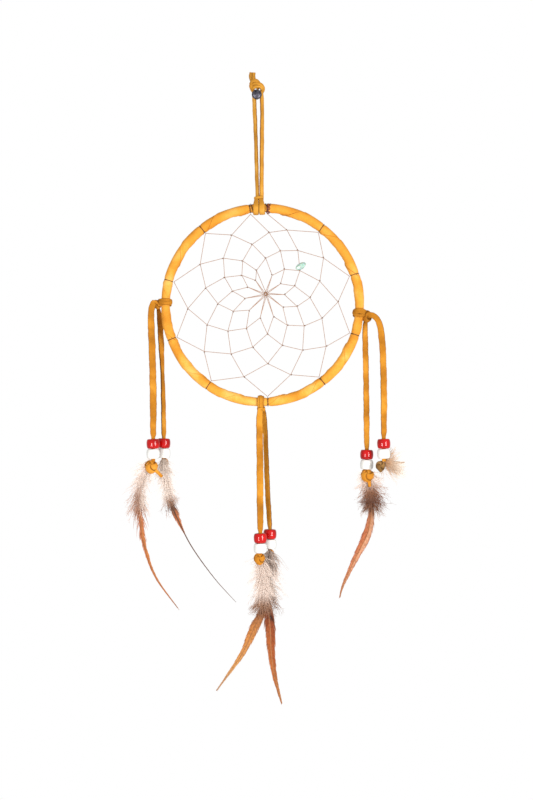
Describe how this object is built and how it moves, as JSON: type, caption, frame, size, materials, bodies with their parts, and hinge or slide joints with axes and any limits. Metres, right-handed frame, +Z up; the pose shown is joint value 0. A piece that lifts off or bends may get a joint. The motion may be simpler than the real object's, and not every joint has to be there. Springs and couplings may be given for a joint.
{
  "type": "dream catcher",
  "caption": "Leather-wrapped hoop with a netted web, hung by a laced loop, with beaded thongs and feathers hanging from its sides and foot.",
  "frame": {"origin": "underside of the hanging loop's knot, where the nail bears", "axes": "+Z up along the line of hang, +Y from the front of the hoop's plane back towards the wall, +X to the right seen from the front"},
  "size_m": [0.1741, 0.0178, 0.4167],
  "materials": {
    "steel_rod": "bare wire rod, hidden inside the wrap",
    "wrap_suede": "golden tan suede, wound in one spiral",
    "lace_suede": "golden brown suede lace with darker cut edges",
    "sinew": "waxed brown sinew thread",
    "red_glass": "opaque glossy red",
    "white_glass": "opaque glossy white",
    "hackle": "rust and brown cock hackle with pale down at its base",
    "turquoise": "tumbled pale turquoise stone, waxed"
  },
  "bodies": {
    "hanger": {"hanger_lace_left": "lace_suede", "hanger_lace_right": "lace_suede", "loop_knot": "lace_suede"},
    "hitch": {"hanger_hitch": "lace_suede"},
    "hoop": {"hoop_core": "steel_rod", "hoop_wrap": "wrap_suede", "web": "sinew", "turquoise_chip": "turquoise", "left_lashing": "lace_suede", "right_lashing": "lace_suede", "bottom_lashing": "lace_suede"},
    "left_outer_strand": {"left_outer_thong": "lace_suede"},
    "left_outer_beads": {"left_outer_red_bead": "red_glass", "left_outer_white_bead": "white_glass", "left_outer_end_knot": "lace_suede", "left_outer_feather": "hackle"},
    "left_inner_strand": {"left_inner_thong": "lace_suede"},
    "left_inner_beads": {"left_inner_red_bead": "red_glass", "left_inner_white_bead": "white_glass", "left_inner_end_knot": "lace_suede", "left_inner_feather": "hackle"},
    "right_outer_strand": {"right_outer_thong": "lace_suede"},
    "right_outer_beads": {"right_outer_red_bead": "red_glass", "right_outer_white_bead": "white_glass", "right_outer_end_knot": "lace_suede", "right_outer_feather": "hackle"},
    "right_inner_strand": {"right_inner_thong": "lace_suede"},
    "right_inner_beads": {"right_inner_red_bead": "red_glass", "right_inner_white_bead": "white_glass", "right_inner_end_knot": "lace_suede", "right_inner_feather": "hackle"},
    "bottom_left_strand": {"bottom_left_thong": "lace_suede"},
    "bottom_left_beads": {"bottom_left_red_bead": "red_glass", "bottom_left_white_bead": "white_glass", "bottom_left_end_knot": "lace_suede", "bottom_left_feather": "hackle"},
    "bottom_right_strand": {"bottom_right_thong": "lace_suede"},
    "bottom_right_beads": {"bottom_right_red_bead": "red_glass", "bottom_right_white_bead": "white_glass", "bottom_right_end_knot": "lace_suede", "bottom_right_feather": "hackle"}
  },
  "joints": [
    {"name": "hanger_twist", "type": "hinge", "parent": "hanger", "child": "hitch", "pos_m": [0.0006, 0, -0.07194], "axis": [0, 0, 1], "range_deg": [-90, 90], "stiffness_Nm_per_rad": 0.0005},
    {"name": "hoop_tip", "type": "hinge", "parent": "hitch", "child": "hoop", "pos_m": [0.0006, 0, -0.07694], "axis": [0.9993, 0, 0.0375], "range_deg": [-45, 45]},
    {"name": "left_outer_side", "type": "hinge", "parent": "hoop", "child": "left_outer_strand", "pos_m": [-0.06982, -0.0046, -0.13997], "axis": [0, 1, 0], "range_deg": [-8, 40]},
    {"name": "left_outer_lift", "type": "hinge", "parent": "left_outer_strand", "child": "left_outer_beads", "pos_m": [-0.06892, -0.0046, -0.22817], "axis": [1, 0, 0], "range_deg": [-60, 2]},
    {"name": "left_inner_side", "type": "hinge", "parent": "hoop", "child": "left_inner_strand", "pos_m": [-0.06562, 0.0046, -0.14397], "axis": [0, 1, 0], "range_deg": [-3, 40]},
    {"name": "left_inner_lift", "type": "hinge", "parent": "left_inner_strand", "child": "left_inner_beads", "pos_m": [-0.06242, 0.0046, -0.22797], "axis": [1, 0, 0], "range_deg": [-2, 45]},
    {"name": "right_outer_side", "type": "hinge", "parent": "hoop", "child": "right_outer_strand", "pos_m": [0.07321, -0.0046, -0.14751], "axis": [0, 1, 0], "range_deg": [-40, 8]},
    {"name": "right_outer_lift", "type": "hinge", "parent": "right_outer_strand", "child": "right_outer_beads", "pos_m": [0.08271, -0.0046, -0.22811], "axis": [1, 0, 0], "range_deg": [-60, 2]},
    {"name": "right_inner_side", "type": "hinge", "parent": "hoop", "child": "right_inner_strand", "pos_m": [0.07081, 0.0046, -0.15091], "axis": [0, 1, 0], "range_deg": [-40, 8]},
    {"name": "right_inner_lift", "type": "hinge", "parent": "right_inner_strand", "child": "right_inner_beads", "pos_m": [0.07201, 0.0046, -0.23551], "axis": [1, 0, 0], "range_deg": [-2, 45]},
    {"name": "bottom_left_side", "type": "hinge", "parent": "hoop", "child": "bottom_left_strand", "pos_m": [0.00086, -0.0046, -0.2116], "axis": [0, 1, 0], "range_deg": [-16, 16]},
    {"name": "bottom_left_lift", "type": "hinge", "parent": "bottom_left_strand", "child": "bottom_left_beads", "pos_m": [0.00156, -0.0046, -0.29019], "axis": [1, 0, 0], "range_deg": [-60, 2]},
    {"name": "bottom_right_side", "type": "hinge", "parent": "hoop", "child": "bottom_right_strand", "pos_m": [0.00426, 0.0046, -0.2118], "axis": [0, 1, 0], "range_deg": [-16, 4]},
    {"name": "bottom_right_lift", "type": "hinge", "parent": "bottom_right_strand", "child": "bottom_right_beads", "pos_m": [0.00786, 0.0046, -0.28819], "axis": [1, 0, 0], "range_deg": [-2, 45]}
  ]
}
